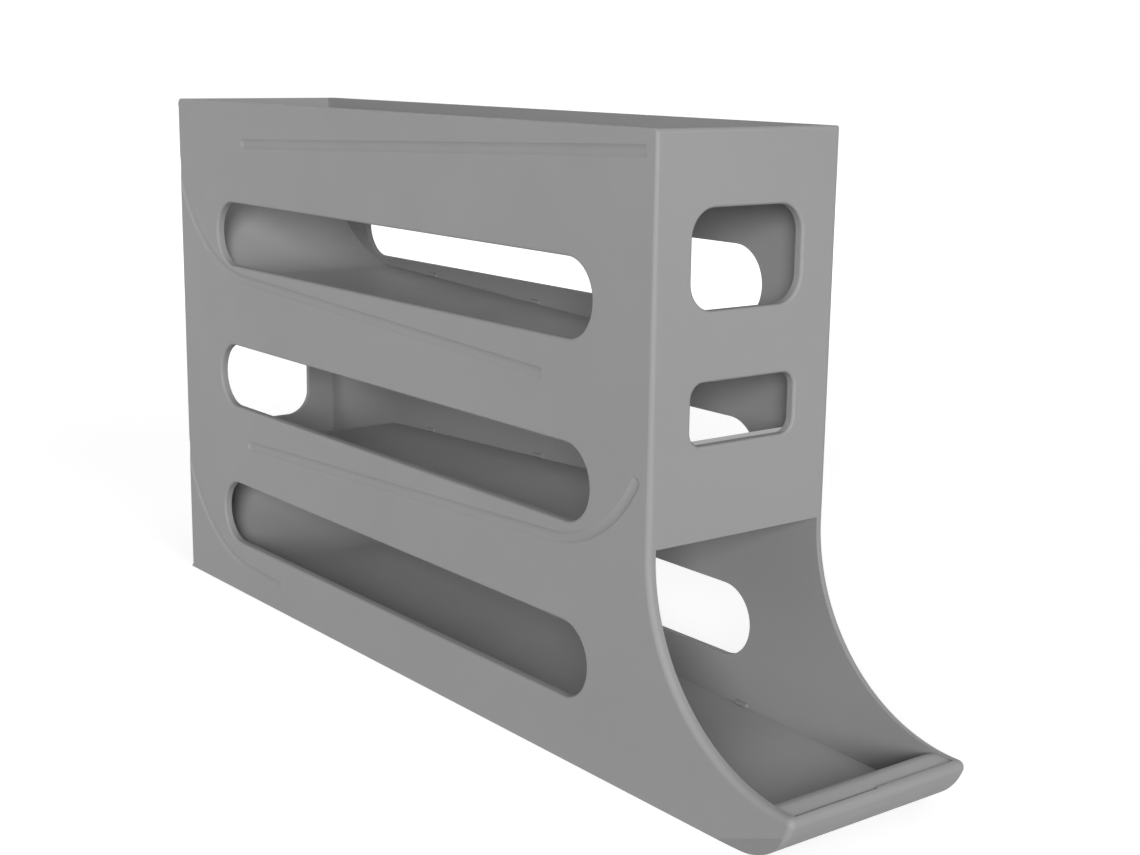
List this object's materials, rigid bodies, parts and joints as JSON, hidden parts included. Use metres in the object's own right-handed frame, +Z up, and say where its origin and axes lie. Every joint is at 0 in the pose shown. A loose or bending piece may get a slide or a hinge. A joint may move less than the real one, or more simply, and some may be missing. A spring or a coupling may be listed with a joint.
{
  "type": "rolling egg dispenser",
  "caption": "Tall narrow plastic egg rack with sloping zigzag trays, rounded side slots and windows, an open top, and an open front mouth with a rolled lip.",
  "frame": {"origin": "centre of the part's footprint, on the floor", "axes": "+Z up, -Y towards the front mouth and lip, +Y towards the back wall, +X across the width"},
  "size_m": [0.0726, 0.368, 0.2],
  "materials": {
    "left_half_shell": "matte moulded",
    "right_half_shell": "matte moulded",
    "top_tray": "matte moulded",
    "second_tray": "matte moulded",
    "third_tray": "matte moulded",
    "bottom_tray": "matte moulded"
  },
  "bodies": {
    "root": {"left_half_shell": "left_half_shell", "right_half_shell": "right_half_shell", "top_tray": "top_tray", "second_tray": "second_tray", "third_tray": "third_tray", "bottom_tray": "bottom_tray"}
  },
  "joints": []
}
